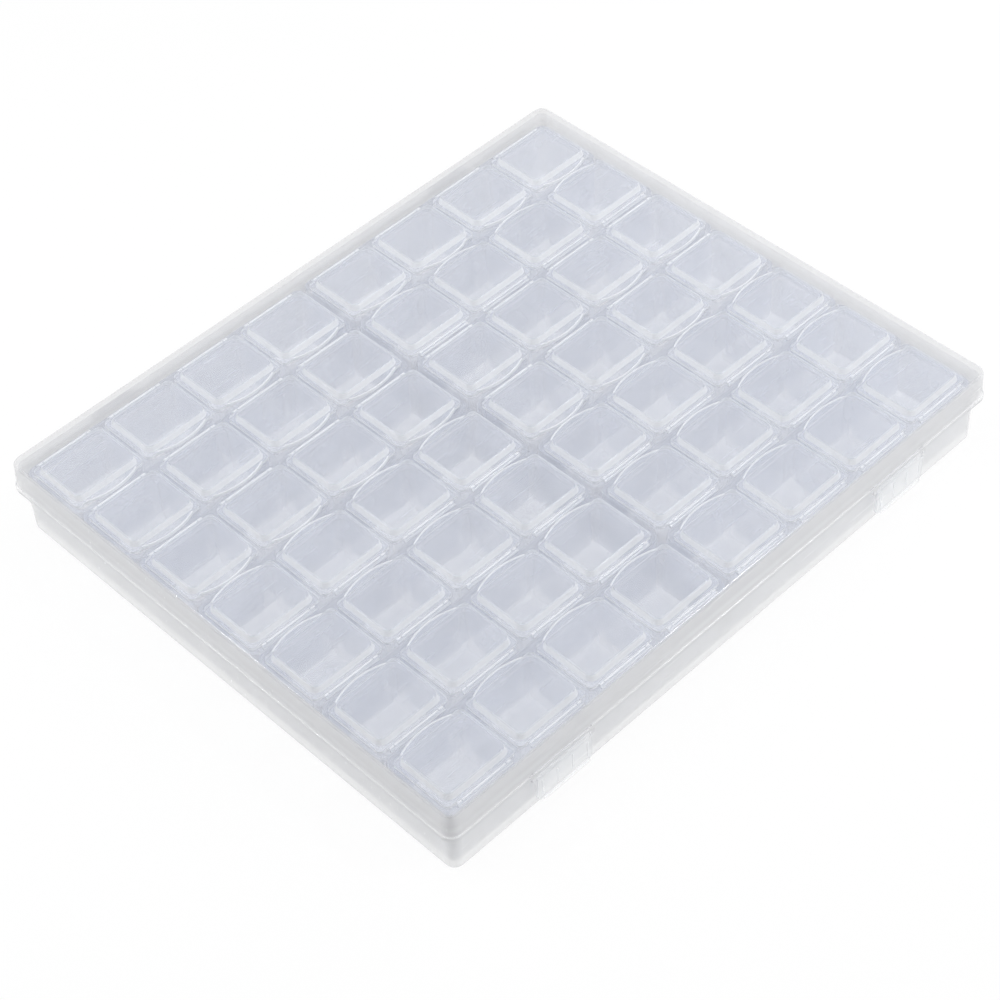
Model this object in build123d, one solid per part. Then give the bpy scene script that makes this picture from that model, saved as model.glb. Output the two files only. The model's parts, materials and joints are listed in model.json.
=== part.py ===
from build123d import *

import os
from math import atan, degrees

os.makedirs("parts", exist_ok=True)

# A clear bead storage box: a shallow hinged case with two front latches, holding loose
# strips of four lidded compartments. Millimetres, +Z up. X runs along the long side, -Y is
# the front with the latches, +Y the back with the case hinge. The origin is the middle of
# the base's flat underside.

# Layout of the strips
rows = 7
cells_per_strip = 4
strip_gap = 0.2
divider_thickness = 0.8
divider_height = 9.0
# Side of its strip that each lid hinges on, row by row from the front: F front, B back
hinge_sides_left = "FFFFBBB"
hinge_sides_right = "FFFBBFB"

# One strip of compartments
cell_pitch = 25.3
strip_end_margin = 0.25
strip_width = 24.0
strip_height = 20.3
strip_corner_radius = 2.6
strip_foot_radius = 2.0
partition_thickness = 2.3
hinge_side_wall = 1.7
free_side_wall = 1.1
pocket_floor = 0.9
pocket_corner_radius = 2.0
pocket_foot_radius = 1.8

# One small lid
lid_seat_gap = 0.05
flange_thickness = 0.9
lid_side_gap = 1.2
flange_inset_hinge_side = 1.8
flange_inset_free_side = 2.0
flange_corner_radius = 1.6
dome_end_margin = 0.95
dome_side_inset = 2.7
dome_height = 1.9
dome_slope_inset = 0.7
dome_corner_radius = 2.7
dome_edge_radius = 0.35
dome_wall = 0.9
lip_chord = 18.0
lip_reach = 1.9
lip_thickness = 0.9
strap_length = 18.6
strap_thickness = 0.5
bead_radius = 0.45
bead_inset = 0.8
groove_clearance = 0.05

# The case
case_wall = 1.2
case_floor = 1.2
case_top_thickness = 1.3
case_headroom = 0.35
overhang = 2.3
case_corner_radius = 4.0
skirt_depth = 9.8
skirt_draft = 0.5
top_edge_radius = 1.1
inner_edge_radius = 0.6
rim_bead_proud = 0.35
rim_bead_height = 1.4
rim_bead_radius = 0.25
base_corner_radius = 3.2
base_draft = 0.1
base_foot_radius = 1.0
base_inner_foot_radius = 1.2
base_rim_drop = 0.5
ledge_thickness = 1.0
ledge_inset = 1.2
seam_gap = 0.15

# The front latches
latch_spacing = 133.0
latch_width = 19.6
latch_drop = 9.8
latch_thickness = 1.1
latch_barrel_radius = 0.8
latch_plate_top_drop = 0.4
latch_outer_reach = 1.2
latch_lip_reach = 0.6
latch_lip_height = 1.3
latch_corner_radius = 1.4
latch_lip_radius = 0.48
latch_shoulder_radius = 0.7
latch_pin_radius = 0.45
latch_pin_length = 0.8
latch_pin_clearance = 0.05
latch_side_gap = 0.15
latch_ear_thickness = 1.2
latch_ear_drop = 1.9
latch_top_gap = 0.2
catch_length = 14.0
catch_reach = 0.95
catch_height = 1.0
catch_z = 8.6
catch_gap = 0.4
catch_clearance = 0.05
catch_chamfer = 0.33
latch_ridge_chamfer = 0.25

# The case hinge at the back
hinge_spacing = 133.0
hinge_offset = 2.3
hinge_rise = 0.4
hinge_radius = 2.0
hinge_barrel_length = 9.8
hinge_side_gap = 0.15
hinge_ear_thickness = 1.9
hinge_pin_radius = 1.0
hinge_pin_length = 3.0
hinge_pin_clearance = 0.06
hinge_gusset_drop = 4.5
# How much longer a bore is cut than the piece it goes through
bore_run_out = 1.0

# Sizes that follow from these
strip_length = cells_per_strip * cell_pitch + 2 * strip_end_margin
row_pitch = strip_width + strip_gap
column_offset = divider_thickness / 2 + strip_gap + strip_length / 2
pocket_length = cell_pitch - partition_thickness
pocket_width = strip_width - hinge_side_wall - free_side_wall
pocket_shift = (hinge_side_wall - free_side_wall) / 2
bead_y = -(strip_width / 2 - bead_inset)

flange_length = cell_pitch - lid_side_gap
flange_to_hinge_side = strip_width / 2 - flange_inset_hinge_side
flange_to_free_side = strip_width / 2 - flange_inset_free_side
dome_length = flange_length - 2 * dome_end_margin
dome_width = strip_width - 2 * dome_side_inset

inner_length = 2 * strip_length + divider_thickness + 4 * strip_gap
inner_width = rows * strip_width + (rows + 1) * strip_gap
base_length = inner_length + 2 * case_wall
base_width = inner_width + 2 * case_wall
case_length = base_length + 2 * overhang
case_width = base_width + 2 * overhang

strip_rim_z = case_floor + strip_height
lid_seat_z = strip_rim_z + lid_seat_gap
dome_top_z = lid_seat_z + flange_thickness + dome_height
case_ceiling_z = dome_top_z + case_headroom
case_height = case_ceiling_z + case_top_thickness
seam_z = case_height - skirt_depth
ledge_top_z = seam_z - seam_gap
ledge_bottom_z = ledge_top_z - ledge_thickness
base_rim_z = strip_rim_z - base_rim_drop

latch_axis_y = -(case_width / 2 - latch_barrel_radius)
latch_axis_z = seam_z - latch_top_gap - latch_barrel_radius
hinge_axis_y = case_width / 2 + hinge_offset
hinge_axis_z = seam_z + hinge_rise


def plate(length, width, radius, bottom, height, slope_inset=0.0):
    """A rounded block standing on the height bottom, drawn in by slope_inset at its top."""
    angle = degrees(atan(slope_inset / height))
    outline = Pos(0, 0, bottom) * RectangleRounded(length, width, radius)
    return extrude(outline, height, taper=angle)


def rod(radius, length, x, y, z):
    """A round rod along X, with its middle at x, y, z."""
    return Pos(x, y, z) * Rot(0, 90, 0) * Cylinder(radius, length)


def block(low, high):
    """A square block between two corners."""
    size = [b - a for a, b in zip(low, high)]
    middle = [(a + b) / 2 for a, b in zip(low, high)]
    return Pos(*middle) * Box(*size)


def lowest_edges(shape):
    return shape.edges().group_by(Axis.Z)[0]


def highest_edges(shape):
    return shape.edges().group_by(Axis.Z)[-1]


# One strip: a block with four round-cornered, round-bottomed pockets. It is drawn with the
# lids' hinge on its -Y side; a groove in that wall's rim takes the bead of each lid.
def make_strip():
    body = plate(strip_length, strip_width, strip_corner_radius, case_floor, strip_height)
    body = fillet(lowest_edges(body), strip_foot_radius)
    pocket = plate(
        pocket_length,
        pocket_width,
        pocket_corner_radius,
        case_floor + pocket_floor,
        strip_height,
    )
    pocket = fillet(lowest_edges(pocket), pocket_foot_radius)
    for x in cell_places():
        body -= Pos(x, pocket_shift, 0) * pocket
        body -= rod(
            bead_radius + groove_clearance,
            strap_length + 2 * groove_clearance,
            x,
            bead_y,
            lid_seat_z + groove_clearance,
        )
    return body


def cell_places():
    """The middles of a strip's compartments, along X."""
    return [(i - (cells_per_strip - 1) / 2) * cell_pitch for i in range(cells_per_strip)]


# One small lid over the compartment at x = 0: a thin flange with a hollow raised top, a
# bow-shaped finger lip on its free side, and on its hinge side a thin strap that ends in a
# round bead lying in the strip's groove.
def make_lid():
    flange_middle = (flange_to_free_side - flange_to_hinge_side) / 2
    lid = Pos(0, flange_middle, 0) * plate(
        flange_length,
        flange_to_free_side + flange_to_hinge_side,
        flange_corner_radius,
        lid_seat_z,
        flange_thickness,
    )
    dome = plate(
        dome_length,
        dome_width,
        dome_corner_radius,
        lid_seat_z + flange_thickness,
        dome_height,
        dome_slope_inset,
    )
    dome = fillet(highest_edges(dome), dome_edge_radius)
    lip_end = Vector(lip_chord / 2, flange_to_free_side, lid_seat_z)
    lip_edge = ThreePointArc(
        lip_end,
        (0, flange_to_free_side + lip_reach, lid_seat_z),
        (-lip_end.X, lip_end.Y, lip_end.Z),
    )
    lip_root = Line(lip_edge @ 1, lip_edge @ 0)
    lip = extrude(make_face([lip_edge, lip_root]), lip_thickness, dir=(0, 0, 1))
    strap = block(
        (-strap_length / 2, bead_y, lid_seat_z),
        (strap_length / 2, -flange_to_hinge_side, lid_seat_z + strap_thickness),
    )
    bead = rod(bead_radius, strap_length, 0, bead_y, lid_seat_z + groove_clearance)
    lid = lid + dome + lip + strap + bead
    hollow = plate(
        dome_length - 2 * dome_wall,
        dome_width - 2 * dome_wall,
        dome_corner_radius - dome_wall,
        lid_seat_z,
        flange_thickness + dome_height - dome_wall,
        dome_slope_inset,
    )
    return lid - hollow


# The base tray: thin walls with a ledge under the case lid's skirt, a low divider between
# the left and right strips, a catch ridge for each latch, and the ears of the case hinge.
def make_base():
    base = plate(
        base_length - 2 * base_draft,
        base_width - 2 * base_draft,
        base_corner_radius - base_draft,
        0,
        ledge_top_z,
        -base_draft,
    )
    base = fillet(lowest_edges(base), base_foot_radius)
    base += plate(
        case_length - 2 * ledge_inset,
        case_width - 2 * ledge_inset,
        case_corner_radius - ledge_inset,
        ledge_bottom_z,
        ledge_thickness,
    )
    base += plate(
        base_length, base_width, base_corner_radius, ledge_bottom_z, base_rim_z - ledge_bottom_z
    )
    for side in (-1, 1):
        base -= latch_clearance(side * latch_spacing / 2)
        base += catch_ridge(side * latch_spacing / 2)
        base += hinge_ears(side * hinge_spacing / 2)
    hollow = plate(
        inner_length, inner_width, base_corner_radius - case_wall, case_floor, case_height
    )
    base -= fillet(lowest_edges(hollow), base_inner_foot_radius)
    divider = block(
        (-divider_thickness / 2, -inner_width / 2 - case_wall / 2, case_floor / 2),
        (divider_thickness / 2, inner_width / 2 + case_wall / 2, case_floor + divider_height),
    )
    return base + divider


def latch_clearance(x):
    """What is cut from the ledge round a latch and its ears."""
    half = latch_width / 2 + 2 * latch_side_gap + latch_ear_thickness
    return block(
        (x - half, -case_width / 2, ledge_bottom_z - latch_side_gap),
        (x + half, -base_width / 2, ledge_top_z + latch_side_gap),
    )


def catch_ridge(x):
    """A ridge on the base's front wall, under which the latch's own ridge lies."""
    outer = -base_width / 2 - catch_reach
    ridge = block(
        (x - catch_length / 2, outer, catch_z),
        (x + catch_length / 2, -base_width / 2 + case_wall / 2, catch_z + catch_height),
    )
    outer_edges = ridge.edges().filter_by(Axis.X).group_by(Axis.Y)[0]
    return chamfer(outer_edges, catch_chamfer)


def hinge_ears(x):
    """The two ears of one case hinge, each with a stub pin that points to the other."""
    ears = None
    for side in (-1, 1):
        near = hinge_barrel_length / 2 + hinge_side_gap
        middle = x + side * (near + hinge_ear_thickness / 2)
        ear = rod(hinge_radius, hinge_ear_thickness, middle, hinge_axis_y, hinge_axis_z)
        wall_y = base_width / 2 - case_wall / 2
        arm = Polyline(
            (wall_y, ledge_top_z),
            (hinge_axis_y, ledge_top_z),
            (hinge_axis_y, hinge_axis_z - hinge_radius),
            (wall_y, hinge_axis_z - hinge_radius - hinge_gusset_drop),
            close=True,
        )
        arm = Plane.YZ * make_face(arm)
        arm = extrude(arm, hinge_ear_thickness / 2, both=True)
        pin_middle = middle - side * (hinge_ear_thickness + hinge_pin_length) / 2
        pin = rod(
            hinge_pin_radius,
            hinge_pin_length + hinge_ear_thickness / 2,
            pin_middle + side * hinge_ear_thickness / 4,
            hinge_axis_y,
            hinge_axis_z,
        )
        ear = ear + Pos(middle, 0, 0) * arm + pin
        ears = ear if ears is None else ears + ear
    return ears


# The case lid: a shallow tray turned over, with a drafted skirt, a bead round its rim, the
# ears of the latches in front and the barrels of the case hinge behind.
def make_case_lid():
    rim_length = case_length - 2 * rim_bead_proud
    rim_width = case_width - 2 * rim_bead_proud
    rim_corner = case_corner_radius - rim_bead_proud
    shell = plate(rim_length, rim_width, rim_corner, seam_z, skirt_depth, skirt_draft)
    shell = fillet(highest_edges(shell), top_edge_radius)
    bead = plate(case_length, case_width, case_corner_radius, seam_z, rim_bead_height)
    bead = fillet(highest_edges(bead), rim_bead_radius)
    shell = shell + bead
    for side in (-1, 1):
        shell += latch_ears(side * latch_spacing / 2)
        shell += hinge_barrel(side * hinge_spacing / 2)
    hollow_height = case_ceiling_z - seam_z
    hollow = plate(
        rim_length - 2 * case_wall,
        rim_width - 2 * case_wall,
        rim_corner - case_wall,
        seam_z,
        hollow_height,
        skirt_draft * hollow_height / skirt_depth,
    )
    shell -= fillet(highest_edges(hollow), inner_edge_radius)
    for side in (-1, 1):
        x = side * hinge_spacing / 2
        bore = hinge_pin_radius + hinge_pin_clearance
        shell -= rod(bore, hinge_barrel_length + bore_run_out, x, hinge_axis_y, hinge_axis_z)
    return shell


def latch_ears(x):
    """Two small ears under the skirt that hold one latch's pins."""
    near = latch_width / 2 + latch_side_gap
    inner_y = -(case_width / 2 - rim_bead_proud - case_wall)
    ears = None
    for side in (-1, 1):
        ends = sorted((x + side * near, x + side * (near + latch_ear_thickness)))
        ear = block(
            (ends[0], -case_width / 2, seam_z - latch_ear_drop),
            (ends[1], inner_y, seam_z + rim_bead_height / 2),
        )
        middle = (ends[0] + ends[1]) / 2
        bore = latch_pin_radius + latch_pin_clearance
        ear -= rod(bore, latch_ear_thickness + bore_run_out, middle, latch_axis_y, latch_axis_z)
        ears = ear if ears is None else ears + ear
    return ears


def hinge_barrel(x):
    """The barrel that turns between one pair of hinge ears, with its arm to the skirt."""
    barrel = rod(hinge_radius, hinge_barrel_length, x, hinge_axis_y, hinge_axis_z)
    inner_y = case_width / 2 - rim_bead_proud - case_wall / 2
    arm = block(
        (x - hinge_barrel_length / 2, inner_y, seam_z),
        (x + hinge_barrel_length / 2, hinge_axis_y, hinge_axis_z + hinge_radius),
    )
    return barrel + arm


# One latch: a flap that hangs from a thin barrel, with a ridge inside that lies under the
# base's catch and a finger lip along its foot.
def make_latch(x):
    barrel = rod(latch_barrel_radius, latch_width, x, latch_axis_y, latch_axis_z)
    pins = rod(
        latch_pin_radius,
        latch_width + 2 * latch_pin_length,
        x,
        latch_axis_y,
        latch_axis_z,
    )
    outer_y = latch_axis_y - latch_outer_reach
    inner_y = outer_y + latch_thickness
    foot_z = latch_axis_z - latch_drop
    flap = block(
        (x - latch_width / 2, outer_y, foot_z),
        (x + latch_width / 2, inner_y, latch_axis_z - latch_plate_top_drop),
    )
    upright = flap.edges().filter_by(Axis.Y).group_by(Axis.Z)[0]
    flap = fillet(upright, latch_corner_radius)
    shoulder = flap.edges().filter_by(Axis.X).group_by(Axis.Z)[-1].sort_by(Axis.Y)[0]
    flap = fillet(shoulder, latch_shoulder_radius)
    lip = block(
        (x - latch_width / 2 + latch_corner_radius, outer_y - latch_lip_reach, foot_z),
        (x + latch_width / 2 - latch_corner_radius, outer_y, foot_z + latch_lip_height),
    )
    lip_edges = lip.edges().filter_by(Axis.X).group_by(Axis.Y)[0]
    lip = fillet(lip_edges, latch_lip_radius)
    ridge_tip = -base_width / 2 - catch_reach - catch_clearance
    ridge = block(
        (x - catch_length / 2, outer_y + latch_thickness / 2, catch_z - catch_gap - catch_height),
        (x + catch_length / 2, ridge_tip, catch_z - catch_gap),
    )
    ridge_edges = ridge.edges().filter_by(Axis.X).group_by(Axis.Y)[-1]
    ridge = chamfer(ridge_edges, latch_ridge_chamfer)
    return barrel + pins + flap + lip + ridge


def write(shape, name):
    export_step(shape, f"parts/{name}.step")


# The case
write(make_base(), "case_base")
write(make_case_lid(), "case_lid")
write(make_latch(-latch_spacing / 2), "latch_left")
write(make_latch(latch_spacing / 2), "latch_right")

# The strips and their lids, numbered from the front, the left column first
strip = make_strip()
lid = make_lid()
number = 0
for column, hinge_sides in ((-1, hinge_sides_left), (1, hinge_sides_right)):
    for row in range(rows):
        number += 1
        x = column * column_offset
        y = (row - (rows - 1) / 2) * row_pitch
        turn = 0 if hinge_sides[row] == "F" else 180
        place = Pos(x, y, 0) * Rot(0, 0, turn)
        write(place * strip, f"strip_{number:02d}")
        lids = [place * Pos(cell_x, 0, 0) * lid for cell_x in cell_places()]
        write(Compound(children=lids), f"strip_lids_{number:02d}")
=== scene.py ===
# %% [markdown]
# # A clear bead storage box
# A flat case with a hinged lid, two small latches and fourteen loose strips of lidded
# compartments, all moulded in clear plastic that is a little milky. The moulded shapes come
# from the CAD model. This lesson adds the camera, the white studio and the plastic's finish,
# and then the beads and ribs that are too fine for the CAD model.

# %% Load the frame
import json
import math
import bpy
from mathutils import Matrix, Vector


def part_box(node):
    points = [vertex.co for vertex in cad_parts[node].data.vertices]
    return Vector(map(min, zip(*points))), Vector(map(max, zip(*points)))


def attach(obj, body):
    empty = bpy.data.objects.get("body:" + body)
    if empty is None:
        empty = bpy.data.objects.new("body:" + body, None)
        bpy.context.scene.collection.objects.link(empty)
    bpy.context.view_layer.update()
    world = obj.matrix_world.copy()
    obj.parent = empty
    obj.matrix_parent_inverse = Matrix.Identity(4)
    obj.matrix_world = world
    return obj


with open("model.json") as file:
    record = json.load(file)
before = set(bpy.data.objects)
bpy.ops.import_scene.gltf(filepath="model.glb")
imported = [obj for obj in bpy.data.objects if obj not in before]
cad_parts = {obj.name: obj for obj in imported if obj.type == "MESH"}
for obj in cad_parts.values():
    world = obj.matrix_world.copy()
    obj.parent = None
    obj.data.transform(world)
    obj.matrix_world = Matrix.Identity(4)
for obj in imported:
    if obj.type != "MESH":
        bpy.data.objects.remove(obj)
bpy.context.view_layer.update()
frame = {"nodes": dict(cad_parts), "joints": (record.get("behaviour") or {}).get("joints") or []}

MM = 0.001

# %% [markdown]
# ## The camera
# The photograph looks down on the near corner of the box. The angles below were fitted to
# its outline, its seam and the middles of its small lids. They could be keyed by eye, but
# then each edge would run a little off the photograph's.

# %% Place the camera
LOOK_AT = Vector((-14.1, -12.8, 12.0)) * MM
AZIMUTH = math.radians(227.61)
ELEVATION = math.radians(47.47)
ROLL = math.radians(-3.45)
DISTANCE = 697 * MM
FOCAL_PIXELS = 2519
PHOTO_PIXELS = 1000
SENSOR_WIDTH = 36
NEAREST_SEEN = 10 * MM

towards_camera = Vector((
    math.cos(ELEVATION) * math.cos(AZIMUTH),
    math.cos(ELEVATION) * math.sin(AZIMUTH),
    math.sin(ELEVATION),
))
level_right = (-towards_camera).cross(Vector((0, 0, 1))).normalized()
level_up = level_right.cross(-towards_camera)
right = math.cos(ROLL) * level_right + math.sin(ROLL) * level_up
up = math.cos(ROLL) * level_up - math.sin(ROLL) * level_right

bpy.ops.object.camera_add()
camera = bpy.context.object
camera.name = "photo_camera"
turn = Matrix((right, up, towards_camera)).transposed().to_4x4()
camera.matrix_world = Matrix.Translation(LOOK_AT + DISTANCE * towards_camera) @ turn
camera.data.sensor_width = SENSOR_WIDTH
camera.data.lens = SENSOR_WIDTH * FOCAL_PIXELS / PHOTO_PIXELS
camera.data.clip_start = NEAREST_SEEN
bpy.context.scene.camera = camera
print("camera at", tuple(round(c, 4) for c in camera.location), "lens", round(camera.data.lens, 1))

# %% [markdown]
# ## Helpers for nodes
# Every finish here is a tree of nodes. Written out in full, each node takes several lines, so
# a few small helpers come first: one adds a node with its inputs set or linked, one does a
# sum, and one mixes two shaders.


# %% Write the node helpers
def new_nodes(owner):
    """Empties the nodes of a material or a world, and gives three helpers that fill them."""
    owner.use_nodes = True
    tree = owner.node_tree
    tree.nodes.clear()

    def feed(socket, value):
        if isinstance(value, bpy.types.NodeSocket):
            tree.links.new(value, socket)
        else:
            socket.default_value = value

    def add(kind, **inputs):
        node = tree.nodes.new(kind)
        for key, value in inputs.items():
            feed(node.inputs[key.replace("_", " ")], value)
        return node

    def calc(operation, a, b=0.0):
        node = add("ShaderNodeMath")
        node.operation = operation
        feed(node.inputs[0], a)
        feed(node.inputs[1], b)
        return node.outputs[0]

    def mix(share, first, second):
        """A share of 0 gives the first shader and a share of 1 the second."""
        node = add("ShaderNodeMixShader", Fac=share)
        feed(node.inputs[1], first.outputs[0])
        feed(node.inputs[2], second.outputs[0])
        return node

    return add, calc, mix


def seen_directly(add, calc):
    """1 for rays from the camera, from a reflection or through glass, otherwise 0."""
    path = add("ShaderNodeLightPath").outputs
    mirrored = calc("MAXIMUM", path["Is Camera Ray"], path["Is Glossy Ray"])
    return calc("MAXIMUM", mirrored, path["Is Transmission Ray"])


print("node helpers are ready")

# %% [markdown]
# ## The white floor
# The box lies on white with hardly a shadow. The floor could be lit until it clips, but that
# would burn out the plastic too. Instead the floor shows the camera most of its white by
# itself, through Light Path, and a small share stays a real lit surface that keeps the shadow.

# %% Lay the floor
FLOOR_SIZE = 6.0
FLOOR_DROP = 0.05 * MM
FLOOR_PAINT = (0.92, 0.92, 0.92, 1)
PURE_WHITE = (1, 1, 1, 1)
SELF_WHITE = 0.9

bpy.ops.object.select_all(action="DESELECT")
bpy.ops.mesh.primitive_plane_add(size=FLOOR_SIZE, location=(0, 0, -FLOOR_DROP))
floor = bpy.context.object
floor.name = "studio_floor"
bpy.ops.object.transform_apply(location=True)

floor_white = bpy.data.materials.new("floor_white")
add, calc, mix = new_nodes(floor_white)
share = calc("MULTIPLY", seen_directly(add, calc), SELF_WHITE)
lit = add("ShaderNodeBsdfDiffuse", Color=FLOOR_PAINT)
shining = add("ShaderNodeEmission", Color=PURE_WHITE, Strength=1.0)
add("ShaderNodeOutputMaterial", Surface=mix(share, lit, shining).outputs[0])
floor.data.materials.append(floor_white)
print("floor laid at", floor.data.vertices[0].co.z)

# %% [markdown]
# ## The white surroundings
# The photograph's background is pure white. One bright world could give that, but its light
# would clip the pale plastic. So the world shows pure white to the camera, to the polished
# faces and through glass, while it lights the box with much less.

# %% Surround the box with white
WORLD_LIGHT = 0.37
WORLD_TINT = (0.985, 0.99, 1.0, 1)

world = bpy.data.worlds.new("studio_white")
bpy.context.scene.world = world
add, calc, mix = new_nodes(world)
lighting = add("ShaderNodeBackground", Color=WORLD_TINT, Strength=WORLD_LIGHT)
shown = add("ShaderNodeBackground", Color=PURE_WHITE, Strength=1.0)
surroundings = mix(seen_directly(add, calc), lighting, shown)
add("ShaderNodeOutputWorld", Surface=surroundings.outputs[0])
print("the world lights the box with", WORLD_LIGHT)

# %% [markdown]
# ## The lamps
# Five soft lamps round the box give the plastic its shape. In a view from the side, their
# mirror images would cover half of the flat lid, so they are kept out of reflections. Two
# small lamps stay in them. They stand where the rounded edges of the small lids throw their
# light to the camera, which gives the fine bright glints.


# %% Light it softly
def softbox(name, place, side, watts, mirrored=False):
    """A square lamp, in metres and watts, that looks at the box's origin.

    Only a mirrored one shows in polished faces.
    """
    bpy.ops.object.light_add(type="AREA", location=place)
    lamp = bpy.context.object
    lamp.name = name
    lamp.data.shape = "SQUARE"
    lamp.data.size = side
    lamp.data.energy = watts
    lamp.visible_glossy = mirrored
    lamp.rotation_euler = (-Vector(place)).to_track_quat("-Z", "Y").to_euler()


softbox("softbox_over", place=(-0.1, 0.0, 0.6), side=0.35, watts=0.85)
softbox("softbox_back_left", place=(-0.25, 0.45, 0.35), side=0.3, watts=0.6)
softbox("softbox_back_right", place=(0.5, 0.0, 0.3), side=0.25, watts=0.75)
softbox("softbox_front", place=(0.55, -1.0, 0.40), side=0.4, watts=2.6)
softbox("softbox_left", place=(-1.0, 0.3, 0.45), side=0.4, watts=1.2)
softbox("glint_front", place=(0.46, -0.50, 0.73), side=0.1, watts=2.2, mirrored=True)
softbox("glint_left", place=(-0.43, 0.50, 0.75), side=0.1, watts=1.4, mirrored=True)

# %% [markdown]
# ## How the picture is taken
# Standard shows each colour as it is written here. A line of sight crosses dozens of clear
# walls on its way through the box, and each wall needs one transparent bounce, or it ends
# black.

# %% Set the view
WALLS_SEEN_THROUGH = 64

scene = bpy.context.scene
scene.view_settings.view_transform = "Standard"
scene.cycles.transparent_max_bounces = WALLS_SEEN_THROUGH
print("clear walls in one line of sight: up to", WALLS_SEEN_THROUGH)

# %% [markdown]
# ## Clear and milky plastic
# All pieces are thin mouldings of clear plastic. Real refraction through a dozen thin walls
# would take many bounces and turn grey. Each wall is instead a thin veil: mostly see-through,
# with a pale milky body. Bevels and upright walls gather light on the real box, so there the
# veil is thicker, and their colour is painted light and shade: a painted highlight on most
# pieces, a little painted shade on the case lid. Noise clouds it, a faint ripple bends the
# skin's reflections, and stretched noise draws the fine scuffs of use.

# %% Measure the surface
RIPPLE_SIZE = 6 * MM
SCUFF_TURN = (0.3, 0.2, 0.7)
SCUFF_STRETCH = (60, 1500, 500)
SCUFF_START = 0.64


def surface_marks(add, calc, place, cloud_size):
    """The clouds, the ripples and the few scuffs that rise above the start value."""
    cloud = add("ShaderNodeTexNoise", Vector=place, Scale=1 / cloud_size, Detail=2.0)
    ripple = add("ShaderNodeTexNoise", Vector=place, Scale=1 / RIPPLE_SIZE, Detail=0.0)
    stretched = add("ShaderNodeMapping", Vector=place, Rotation=SCUFF_TURN, Scale=SCUFF_STRETCH)
    streaks = add("ShaderNodeTexNoise", Vector=stretched.outputs[0], Scale=1.0, Detail=2.0)
    scuff = calc("MAXIMUM", calc("SUBTRACT", streaks.outputs[0], SCUFF_START), 0.0)
    return cloud.outputs[0], ripple.outputs[0], scuff


def rim_shade_lines(add, calc, place, bands):
    """Soft level lines of painted shade round a piece. Each band is a height, a half width and a
    haze.
    """
    height = add("ShaderNodeSeparateXYZ", Vector=place).outputs["Z"]
    lines = 0.0
    for middle, half_width, strength in bands:
        away = calc("ABSOLUTE", calc("SUBTRACT", height, middle))
        line = calc("MAXIMUM", calc("SUBTRACT", 1.0, calc("DIVIDE", away, half_width)), 0.0)
        lines = calc("ADD", calc("MULTIPLY", line, strength), lines)
    return lines


print("ripples every", RIPPLE_SIZE / MM, "mm")

# %% [markdown]
# ### How thick the veil is, and its colour
# One number could set the haze, but a moulding is never even. The haze is a sum: the clouds,
# the upright walls, the faces seen nearly edge on, the lines of painted shade at the rims and
# the scuffs. On the upright walls and along those lines the colour changes too, as painted
# light and shade. The patterns read the object's own coordinates, so they stay with a piece
# when the case opens. Only the faces seen edge on change with the view, as they do on the
# real box.

# %% Cloud and colour the wall
CLOUD_LIFT = 0.5
EDGE_POWER = 2.0
SCUFF_HAZE = 0.8
THICKEST_VEIL = 0.95
CLOUD_SHADE = 0.12
CLOUD_TINT = (0.80, 0.84, 0.92, 1)
# Along the rim lines the colour is painted darker, a painted shade of grey.
RIM_SHADE = 2.0
RIM_SHADE_GREY = (0.40, 0.41, 0.43, 1)


def veil_of(add, calc, haze, wall_haze, edge_haze, cloud, walls, lines, scuff):
    """How much of the milky body shows. The lift keeps the clouds' average at 1."""
    facing = add("ShaderNodeLayerWeight").outputs["Facing"]
    edge = calc("MULTIPLY", calc("POWER", facing, EDGE_POWER), edge_haze)
    veil = calc("MULTIPLY", calc("ADD", cloud, CLOUD_LIFT), haze)
    veil = calc("ADD", veil, calc("MULTIPLY", walls, wall_haze))
    veil = calc("ADD", veil, edge)
    veil = calc("ADD", veil, lines)
    veil = calc("ADD", veil, calc("MULTIPLY", scuff, SCUFF_HAZE))
    return calc("MINIMUM", veil, THICKEST_VEIL)


def body_colour(add, calc, tint, painted_wall_shading, cloud, walls, lines):
    """The tint, turned to the painted wall shading on upright faces and to a painted grey shade at
    rims.
    """
    pale = add("ShaderNodeMixRGB", Fac=walls, Color1=(*tint, 1), Color2=(*painted_wall_shading, 1))
    cloudy = calc("MULTIPLY", cloud, CLOUD_SHADE)
    clouded = add("ShaderNodeMixRGB", Fac=cloudy, Color1=pale.outputs[0], Color2=CLOUD_TINT)
    clouded.blend_type = "MULTIPLY"
    rim = calc("MULTIPLY", lines, RIM_SHADE)
    shaded = add("ShaderNodeMixRGB", Fac=rim, Color1=clouded.outputs[0], Color2=RIM_SHADE_GREY)
    return shaded.outputs[0]


print("the veil is never thicker than", THICKEST_VEIL)

# %% [markdown]
# ### The skin and the whole plastic
# The skin is the polished outer face. Fresnel gives it a weak mirror that grows stronger at a
# flat angle. All round is a white studio, so at full strength that mirror would hide the
# strips in low views, and POLISH holds it back. Lamps see neither the veil nor the skin, but
# a plain pale film, which keeps the shadows soft and the render quick.

# %% Make the plastic
PLASTIC_IOR = 1.49
POLISH = 0.55
CLOUD_ROUGHNESS = 0.1
SCUFF_ROUGHNESS = 1.2
RIPPLE_STRENGTH = 0.1
RIPPLE_HEIGHT = 0.1 * MM
FILM_SHADE = 0.25


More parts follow.
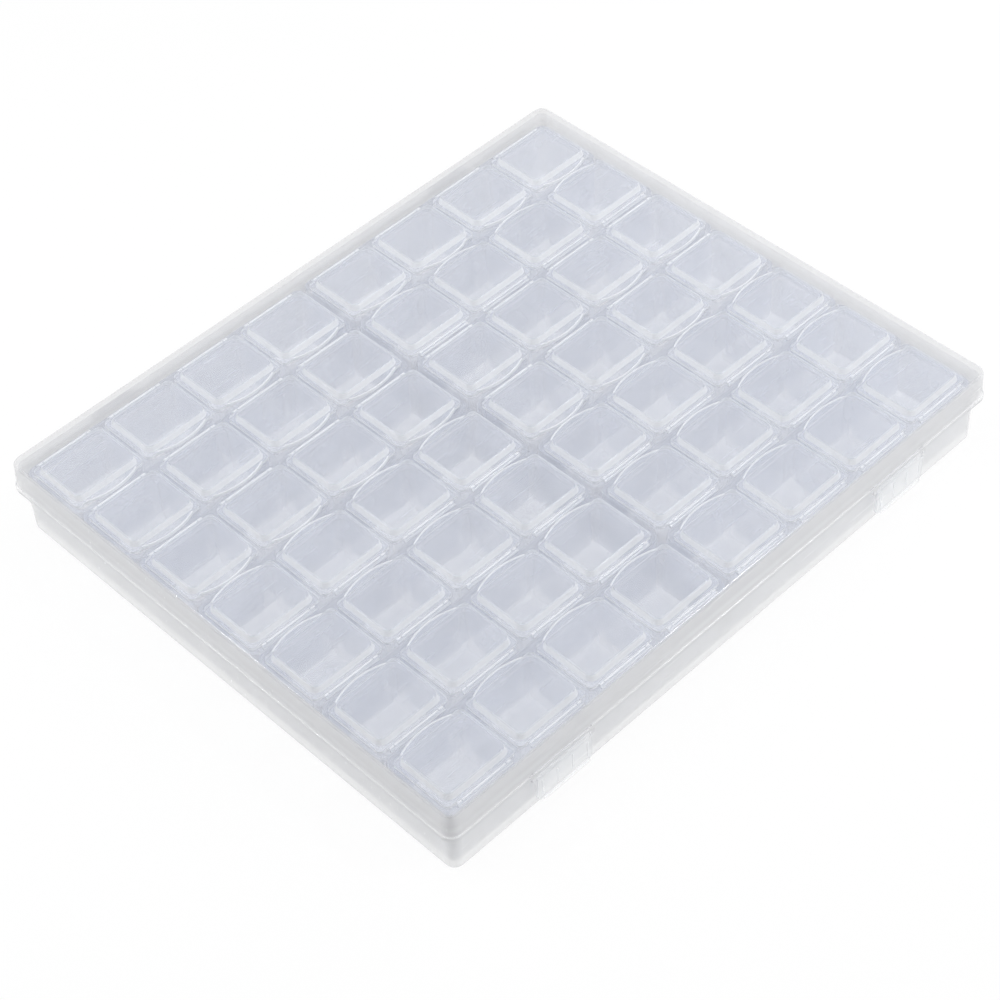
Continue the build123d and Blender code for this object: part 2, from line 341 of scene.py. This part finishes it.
def clear_plastic(
    name, tint, painted_wall_shading, haze, wall_haze, edge_haze, roughness, cloud_size, bands=(), skin=True
):
    """Plastic with haze on its flat faces, other haze on walls, and more seen edge on.

    Each band (height, half width, haze) is a darker line of painted shade round the piece, at a
    rim.
    The skin mirrors the white studio and the two glint lamps.
    """
    material = bpy.data.materials.new(name)
    add, calc, mix = new_nodes(material)
    coordinates = add("ShaderNodeTexCoord").outputs
    place = coordinates["Object"]
    upright = add("ShaderNodeSeparateXYZ", Vector=coordinates["Normal"]).outputs["Z"]
    walls = calc("SUBTRACT", 1.0, calc("MULTIPLY", upright, upright))
    cloud, ripple, scuff = surface_marks(add, calc, place, cloud_size)
    lines = rim_shade_lines(add, calc, place, bands)

    veil = veil_of(add, calc, haze, wall_haze, edge_haze, cloud, walls, lines, scuff)
    colour = body_colour(add, calc, tint, painted_wall_shading, cloud, walls, lines)
    clouds_rough = calc("MULTIPLY", cloud, CLOUD_ROUGHNESS)
    rough = calc("ADD", clouds_rough, calc("MULTIPLY", scuff, SCUFF_ROUGHNESS))
    rough = calc("ADD", rough, roughness)
    bump = add("ShaderNodeBump", Strength=RIPPLE_STRENGTH, Distance=RIPPLE_HEIGHT, Height=ripple)
    surface = {"Roughness": rough, "Normal": bump.outputs[0]}
    body = add("ShaderNodeBsdfPrincipled", Base_Color=colour, IOR=PLASTIC_IOR, **surface)
    wall = mix(veil, add("ShaderNodeBsdfTransparent", Color=PURE_WHITE), body)

    if skin:
        mirror = calc("MULTIPLY", add("ShaderNodeFresnel", IOR=PLASTIC_IOR).outputs[0], POLISH)
        outside = calc("SUBTRACT", 1.0, add("ShaderNodeNewGeometry").outputs["Backfacing"])
        shine = add("ShaderNodeBsdfGlossy", Color=PURE_WHITE, **surface)
        wall = mix(calc("MULTIPLY", mirror, outside), wall, shine)

    film_colour = [1 - haze * (1 - c) - haze * FILM_SHADE for c in tint]
    film = add("ShaderNodeBsdfTransparent", Color=(*film_colour, 1))
    for_lamps = mix(add("ShaderNodeLightPath").outputs["Is Shadow Ray"], wall, film)
    add("ShaderNodeOutputMaterial", Surface=for_lamps.outputs[0])
    return material


print("polish of the skin:", POLISH)

# %% [markdown]
# ### The plastic of each kind of piece
# The case is nearly clear on its flat faces and has a thicker veil on its walls, where its lid
# is painted a little darker. Its lid has two lines of painted shade, a fine one at the foot of
# the skirt and a broad one higher up. The strips are milky. They lie under other plastic and
# need no mirror of their own. The small lids are milkier on their bevels, which are painted
# white, a painted highlight that gives them pale frames.

# %% Mix the plastics
# The wall colours below are painted light: paler than the tint on the strips, small lids and
# latches, as painted highlights, and a little darker on the case lid, as painted shade.
WHITE = (0.90, 0.91, 0.92)
CASE_GREY = (0.80, 0.80, 0.81)
# Two lines of painted shade on the lid's skirt: a fine one at its foot and a broad one higher up.
SKIRT_FOOT_SHADE = (16.5 * MM, 0.4 * MM, 0.4)
SKIRT_BROAD_SHADE = (19.9 * MM, 1.4 * MM, 0.17)

case_lid_plastic = clear_plastic(
    "clear_lid", tint=CASE_GREY, painted_wall_shading=(0.74, 0.74, 0.75), haze=0.05, wall_haze=0.30,
    edge_haze=0.45, roughness=0.07, cloud_size=30 * MM,
    bands=(SKIRT_FOOT_SHADE, SKIRT_BROAD_SHADE),
)
case_base_plastic = clear_plastic(
    "clear_base", tint=CASE_GREY, painted_wall_shading=(0.80, 0.80, 0.80), haze=0.05, wall_haze=0.40,
    edge_haze=0.35, roughness=0.07, cloud_size=30 * MM,
)
strip_plastic = clear_plastic(
    "strip_plastic", tint=(0.55, 0.58, 0.65), painted_wall_shading=(0.78, 0.80, 0.86), haze=0.28,
    wall_haze=-0.06, edge_haze=0.4, roughness=0.3, cloud_size=14 * MM, skin=False,
)
lid_plastic = clear_plastic(
    "strip_lid_plastic", tint=(0.62, 0.65, 0.72), painted_wall_shading=WHITE, haze=0.29, wall_haze=0.45,
    edge_haze=0.2, roughness=0.12, cloud_size=12 * MM,
)
latch_plastic = clear_plastic(
    "latch_clear", tint=(0.82, 0.83, 0.84), painted_wall_shading=WHITE, haze=0.10, wall_haze=0.14,
    edge_haze=0.35, roughness=0.1, cloud_size=8 * MM,
)
plastics = (case_lid_plastic, case_base_plastic, strip_plastic, lid_plastic, latch_plastic)
print("plastics:", [m.name for m in plastics])

# %% [markdown]
# ## Dress the moulded pieces
# Each CAD node comes with one plain material. It could be edited in place, but the nodes are
# of five kinds, so each gets the plastic of its kind, which the start of its name tells. The
# small lids are asked before the strips, because their names begin as the strips' names do.

# %% Dress the moulded pieces
finishes = {
    "case_lid": case_lid_plastic,
    "case_base": case_base_plastic,
    "latch": latch_plastic,
    "strip_lids": lid_plastic,
    "strip": strip_plastic,
}
dressed = 0
for name, piece in frame["nodes"].items():
    for start, finish in finishes.items():
        if name.startswith(start):
            for slot in piece.material_slots:
                slot.material = finish
            dressed += 1
            break
print("nodes dressed:", dressed)

# %% [markdown]
# ## Bars and joined pieces
# The trim is made of slim bars with rounded edges. A bar starts as a cube, takes its size and
# place into its mesh, and is bevelled in edit mode. Bars of one moulding are then joined,
# because on the real box they are one piece.


# %% Write the modelling helpers
def start_piece():
    """Leaves edit mode and selects nothing, so that an operator acts on one piece only."""
    if bpy.context.object and bpy.context.object.mode != "OBJECT":
        bpy.ops.object.mode_set(mode="OBJECT")
    bpy.ops.object.select_all(action="DESELECT")


def apply_place(piece):
    """Puts a piece's place, turn and scale into its mesh."""
    start_piece()
    piece.select_set(True)
    bpy.context.view_layer.objects.active = piece
    bpy.ops.object.transform_apply(location=True, rotation=True, scale=True)


def rounded_bar(name, size, middle, rounding):
    """A bar with its edges rounded."""
    start_piece()
    bpy.ops.mesh.primitive_cube_add(size=1, location=middle)
    bar = bpy.context.object
    bar.name = name
    bar.scale = size
    apply_place(bar)
    bpy.ops.object.mode_set(mode="EDIT")
    bpy.ops.mesh.select_all(action="SELECT")
    bpy.ops.mesh.bevel(offset=rounding, segments=2, affect="EDGES")
    bpy.ops.object.mode_set(mode="OBJECT")
    return bar


def join_pieces(pieces, name):
    """Makes one mesh of the pieces."""
    start_piece()
    for piece in pieces:
        piece.select_set(True)
    bpy.context.view_layer.objects.active = pieces[0]
    bpy.ops.object.join()
    joined = bpy.context.object
    joined.name = name
    return joined


print("modelling helpers are ready")

# %% [markdown]
# ## The lip of a small lid
# Each small lid has a bow-shaped lip for the fingernail, edged with a fine bead that catches
# the light. A bevelled curve could draw it, but a small ring that is spun about the middle of
# the bow gives a true arc and a closed mesh at once. Spinning leaves doubles and may turn the
# faces inwards, so both are mended.

# %% Spin the lip's bead
LIP_CHORD = 18.0 * MM
LIP_REACH = 1.9 * MM
LIP_ROOT = 10.0 * MM
LIP_TOP = 22.45 * MM
BEAD = 0.22 * MM
BEAD_SIDES = 8
BOW_STEPS = 14
WELD = 0.001 * MM

bow_radius = (LIP_CHORD ** 2 / 4 + LIP_REACH ** 2) / (2 * LIP_REACH) - BEAD
bow_middle = Vector((0, LIP_ROOT + LIP_REACH - BEAD - bow_radius, LIP_TOP))
half_angle = math.asin((LIP_CHORD / 2 - BEAD) / bow_radius)
bow_end = bow_middle + Vector((math.sin(half_angle), math.cos(half_angle), 0)) * bow_radius
start_piece()
bpy.ops.mesh.primitive_circle_add(
    vertices=BEAD_SIDES, radius=BEAD, fill_type="NGON", location=bow_end,
    rotation=(0, math.pi / 2, math.pi - half_angle),
)
lip_bead = bpy.context.object
lip_bead.name = "lip_bead"
apply_place(lip_bead)
bpy.ops.object.mode_set(mode="EDIT")
bpy.ops.mesh.select_all(action="SELECT")
bpy.ops.mesh.spin(steps=BOW_STEPS, angle=-2 * half_angle, center=bow_middle, axis=(0, 0, 1))
bpy.ops.mesh.select_all(action="SELECT")
bpy.ops.mesh.remove_doubles(threshold=WELD)
bpy.ops.mesh.normals_make_consistent(inside=False)
bpy.ops.object.mode_set(mode="OBJECT")
print("lip bead:", len(lip_bead.data.polygons), "faces")

# %% [markdown]
# ## The strap of a small lid
# On its hinge side each small lid has a strap, edged with a bead that is broken near both
# ends. One bar with two notches cut in it would take more work, so the bead is three bars
# with gaps between them. With the lip's bead they are one lid's edging, and it stands round
# the middle of its compartment.

# %% Lay the strap's beads
STRAP_LENGTH = 18.6 * MM
STRAP_TOP = 22.05 * MM
STRAP_MIDDLE = -10.75 * MM
STRAP_WIDTH = 0.5 * MM
STRAP_PROUD = 0.35 * MM
STRAP_ROUNDING = 0.1 * MM
NOTCH_FROM_END = 1.6 * MM
LONG_BAR_GAPS = 0.5 * MM
END_BAR_GAPS = 0.3 * MM

bar_z = STRAP_TOP + STRAP_PROUD / 2
long_bar = STRAP_LENGTH - 2 * NOTCH_FROM_END - LONG_BAR_GAPS
end_bar = NOTCH_FROM_END - END_BAR_GAPS
end_x = (STRAP_LENGTH - NOTCH_FROM_END) / 2
edging = [lip_bead]
for name, length, x in (
    ("strap_bead", long_bar, 0), ("strap_end", end_bar, -end_x), ("strap_end", end_bar, end_x),
):
    size = (length, STRAP_WIDTH, STRAP_PROUD)
    edging.append(rounded_bar(name, size, (x, STRAP_MIDDLE, bar_z), STRAP_ROUNDING))
lid_edging = join_pieces(edging, "lid_edging")
print("one lid's edging:", len(lid_edging.data.polygons), "faces")

# %% [markdown]
# ## The edging of all the small lids
# Every strip has four small lids that turn on the strip's own hinge. So the edging is copied
# four times to each strip, turned round where the lids open the other way, and joined. It
# then rides on the body of those lids and swings up with them.

# %% Copy the edging to every strip of lids
LIDS_IN_STRIP = 4
LID_PITCH = 25.3 * MM
HINGE_TO_MIDDLE = 11.2 * MM

# The beads' plastic is whiter and denser than the lids': a painted highlight along the edging,
# besides the glints that the lamps give on it.
edge_highlight_plastic = clear_plastic(
    "lid_edges", tint=(0.90, 0.91, 0.93), painted_wall_shading=WHITE, haze=0.5, wall_haze=0.3,
    edge_haze=0.2, roughness=0.08, cloud_size=9 * MM,
)
lid_edging.data.materials.append(edge_highlight_plastic)
for joint in frame["joints"]:
    body = joint["child"]
    if not body.startswith("lids_"):
        continue
    turned = joint["axis"][0] < 0
    hinge = Vector(joint["pos_m"])
    towards_lip = -1 if turned else 1
    copies = []
    for i in range(LIDS_IN_STRIP):
        start_piece()
        lid_edging.select_set(True)
        bpy.context.view_layer.objects.active = lid_edging
        bpy.ops.object.duplicate()
        copy = bpy.context.object
        copy.rotation_euler = (0, 0, math.pi if turned else 0)
        x = hinge.x + (i - (LIDS_IN_STRIP - 1) / 2) * LID_PITCH
        copy.location = (x, hinge.y + towards_lip * HINGE_TO_MIDDLE, 0)
        apply_place(copy)
        copies.append(copy)
    edges = join_pieces(copies, "lid_edges_" + body[-2:])
    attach(edges, body)
bpy.data.objects.remove(lid_edging)

# %% [markdown]
# ## The latches' ribs
# Each latch has a few upright ribs that give the thumb a grip. They could be a bump in the
# finish, but the exported mesh would lose that. So they are four slim bars on the flap's
# outer face, a little shorter than the flap, and sunk into it by a hair.

# %% Model the ribs
RIB_COUNT = 4
RIB_WIDTH = 0.6 * MM
RIB_PROUD = 0.3 * MM
RIB_SUNK = 0.05 * MM
RIB_ROUNDING = 0.1 * MM
RIB_MARGIN_SIDE = 1.6 * MM
RIB_MARGIN_TOP = 2.4 * MM
RIB_MARGIN_FOOT = 1.9 * MM
LATCH_WIDTH = 19.6 * MM
FLAP_FACE_INSET = 0.6 * MM

span = LATCH_WIDTH - 2 * RIB_MARGIN_SIDE
for side in ("left", "right"):
    low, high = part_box("latch_" + side)
    middle_x = (low.x + high.x) / 2
    rib_y = low.y + FLAP_FACE_INSET - RIB_PROUD / 2 + RIB_SUNK
    bottom = low.z + RIB_MARGIN_FOOT
    top = high.z - RIB_MARGIN_TOP
    size = (RIB_WIDTH, RIB_PROUD, top - bottom)
    ribs = []
    for i in range(RIB_COUNT):
        x = middle_x + span * (i / (RIB_COUNT - 1) - 0.5)
        ribs.append(rounded_bar("rib", size, (x, rib_y, (top + bottom) / 2), RIB_ROUNDING))
    grip = join_pieces(ribs, "latch_ribs_" + side)
    grip.data.materials.append(latch_plastic)
    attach(grip, "latch_" + side)
    print(grip.name, "from z", round(bottom, 4), "to", round(top, 4))
